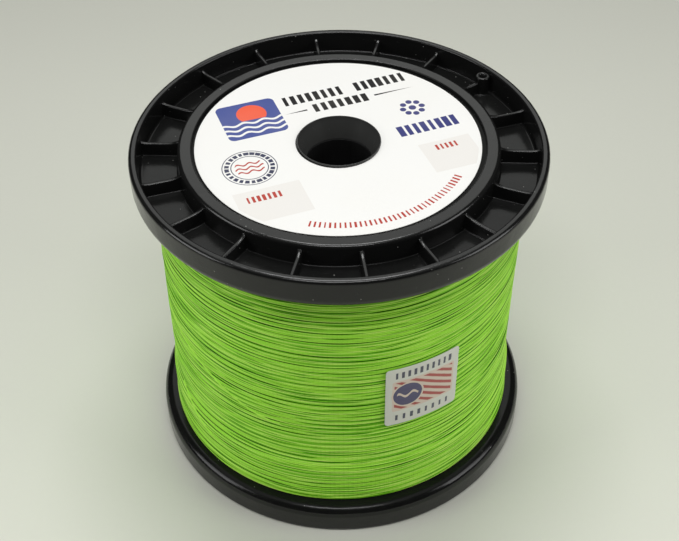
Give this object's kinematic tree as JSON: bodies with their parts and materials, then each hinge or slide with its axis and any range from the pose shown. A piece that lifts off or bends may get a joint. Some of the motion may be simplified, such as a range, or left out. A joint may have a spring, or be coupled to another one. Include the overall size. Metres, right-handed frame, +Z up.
{
  "type": "fishing line spool",
  "caption": "Cylindrical bulk spool with ribbed, raised-rim flanges and a central spindle bore, wound full of braided fishing line.",
  "frame": {"origin": "middle of the face the spool stands on, on the spool's axis", "axes": "+Z up the spool's axis, -Y towards the front, the side that carries the foil sticker, +X to the right of someone looking at the front"},
  "size_m": [0.16, 0.16, 0.1405],
  "materials": {
    "black_plastic": "satin",
    "tube_plastic": "matte",
    "braided_line": "satin",
    "label_paper": "satin",
    "foil_film": "satin"
  },
  "bodies": {
    "root": {"bottom_flange": "black_plastic", "top_flange": "black_plastic", "winding_drum": "tube_plastic", "hub_tube": "tube_plastic", "line_pack": "braided_line", "top_label": "label_paper", "side_sticker": "foil_film"}
  },
  "joints": []
}
